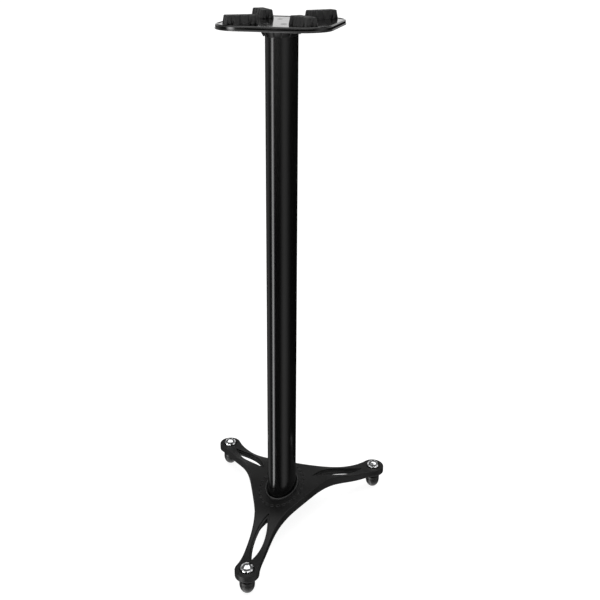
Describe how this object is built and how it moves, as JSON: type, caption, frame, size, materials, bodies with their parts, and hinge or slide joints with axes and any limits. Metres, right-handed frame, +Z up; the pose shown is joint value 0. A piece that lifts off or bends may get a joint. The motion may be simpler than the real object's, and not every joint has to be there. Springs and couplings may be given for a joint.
{
  "type": "speaker stand",
  "caption": "Fixed-height floor stand for a studio loudspeaker: three-armed cast base on levelling feet, oval column and square platform with swivelling rubber pads.",
  "frame": {"origin": "on the floor, under the middle of the base's footprint", "axes": "+Z up the column, -Y along the front arm, +X to the stand's own left as seen from the front"},
  "size_m": [0.425, 0.494, 1.1523],
  "materials": {
    "cast_black": "aluminium casting in satin black powder coat with a fine texture",
    "collar_black": "smooth satin black moulded lip",
    "column_black": "oval aluminium extrusion in smooth semi-gloss black powder coat",
    "platform_gloss": "gloss black enamel on steel plate",
    "pad_rubber": "moulded matte black rubber with notched flanks",
    "foot_rubber": "moulded black rubber, slightly smoother than the pads",
    "gasket_rubber": "thin black rubber sheet",
    "bright_chrome": "polished bright chrome with cut facets",
    "zinc_steel": "bright zinc-plated steel",
    "black_oxide_steel": "black oxide on steel",
    "brass_insert": "turned brass",
    "nylon": "black nylon"
  },
  "bodies": {
    "stand": {"base_casting": "cast_black", "socket_collar": "collar_black", "lower_gasket": "gasket_rubber", "column": "column_black", "upper_gasket": "gasket_rubber", "tie_rods": "zinc_steel", "tie_rod_washers": "zinc_steel", "tie_rod_nuts": "zinc_steel", "top_flange": "cast_black", "flange_screws": "black_oxide_steel", "platform": "platform_gloss", "pad_screws": "black_oxide_steel", "pad_washers": "nylon", "boss_inserts": "brass_insert", "jam_nuts": "black_oxide_steel"},
    "pad_front_left": {"pad_front_left": "pad_rubber", "pad_bush_front_left": "zinc_steel"},
    "pad_front_right": {"pad_front_right": "pad_rubber", "pad_bush_front_right": "zinc_steel"},
    "pad_rear_right": {"pad_rear_right": "pad_rubber", "pad_bush_rear_right": "zinc_steel"},
    "pad_rear_left": {"pad_rear_left": "pad_rubber", "pad_bush_rear_left": "zinc_steel"},
    "foot_front": {"rubber_foot_front": "foot_rubber", "foot_cup_front": "zinc_steel"},
    "level_screw_front": {"level_stud_front": "zinc_steel", "level_head_front": "bright_chrome"},
    "foot_rear_right": {"rubber_foot_rear_right": "foot_rubber", "foot_cup_rear_right": "zinc_steel"},
    "level_screw_rear_right": {"level_stud_rear_right": "zinc_steel", "level_head_rear_right": "bright_chrome"},
    "foot_rear_left": {"rubber_foot_rear_left": "foot_rubber", "foot_cup_rear_left": "zinc_steel"},
    "level_screw_rear_left": {"level_stud_rear_left": "zinc_steel", "level_head_rear_left": "bright_chrome"}
  },
  "joints": [
    {"name": "pad_turn_front_left", "type": "hinge", "parent": "stand", "child": "pad_front_left", "pos_m": [-0.06042, -0.02301, 1.135], "axis": [0, 0, 1], "range_deg": [-90, 90]},
    {"name": "pad_turn_front_right", "type": "hinge", "parent": "stand", "child": "pad_front_right", "pos_m": [0.06042, -0.02301, 1.135], "axis": [0, 0, 1], "range_deg": [-90, 90]},
    {"name": "pad_turn_rear_right", "type": "hinge", "parent": "stand", "child": "pad_rear_right", "pos_m": [0.06042, 0.12101, 1.135], "axis": [0, 0, 1], "range_deg": [-90, 90]},
    {"name": "pad_turn_rear_left", "type": "hinge", "parent": "stand", "child": "pad_rear_left", "pos_m": [-0.06042, 0.12101, 1.135], "axis": [0, 0, 1], "range_deg": [-90, 90]},
    {"name": "foot_lift_front", "type": "slide", "parent": "stand", "child": "foot_front", "axis": [0, 0, 1], "range_m": [-0.003, 0.003]},
    {"name": "level_turn_front", "type": "hinge", "parent": "foot_front", "child": "level_screw_front", "pos_m": [0, -0.221, 0.058], "axis": [0, 0, 1], "range_deg": [-722, 722]},
    {"name": "foot_lift_rear_right", "type": "slide", "parent": "stand", "child": "foot_rear_right", "axis": [0, 0, 1], "range_m": [-0.003, 0.003]},
    {"name": "level_turn_rear_right", "type": "hinge", "parent": "foot_rear_right", "child": "level_screw_rear_right", "pos_m": [0.1865, 0.221, 0.058], "axis": [0, 0, 1], "range_deg": [-722, 722]},
    {"name": "foot_lift_rear_left", "type": "slide", "parent": "stand", "child": "foot_rear_left", "axis": [0, 0, 1], "range_m": [-0.003, 0.003]},
    {"name": "level_turn_rear_left", "type": "hinge", "parent": "foot_rear_left", "child": "level_screw_rear_left", "pos_m": [-0.1865, 0.221, 0.058], "axis": [0, 0, 1], "range_deg": [-722, 722]}
  ],
  "couplings": [
    {"joint": "level_turn_front", "follows": "foot_lift_front", "rad_per_m": 4188.8},
    {"joint": "level_turn_rear_right", "follows": "foot_lift_rear_right", "rad_per_m": 4188.8},
    {"joint": "level_turn_rear_left", "follows": "foot_lift_rear_left", "rad_per_m": 4188.8}
  ]
}
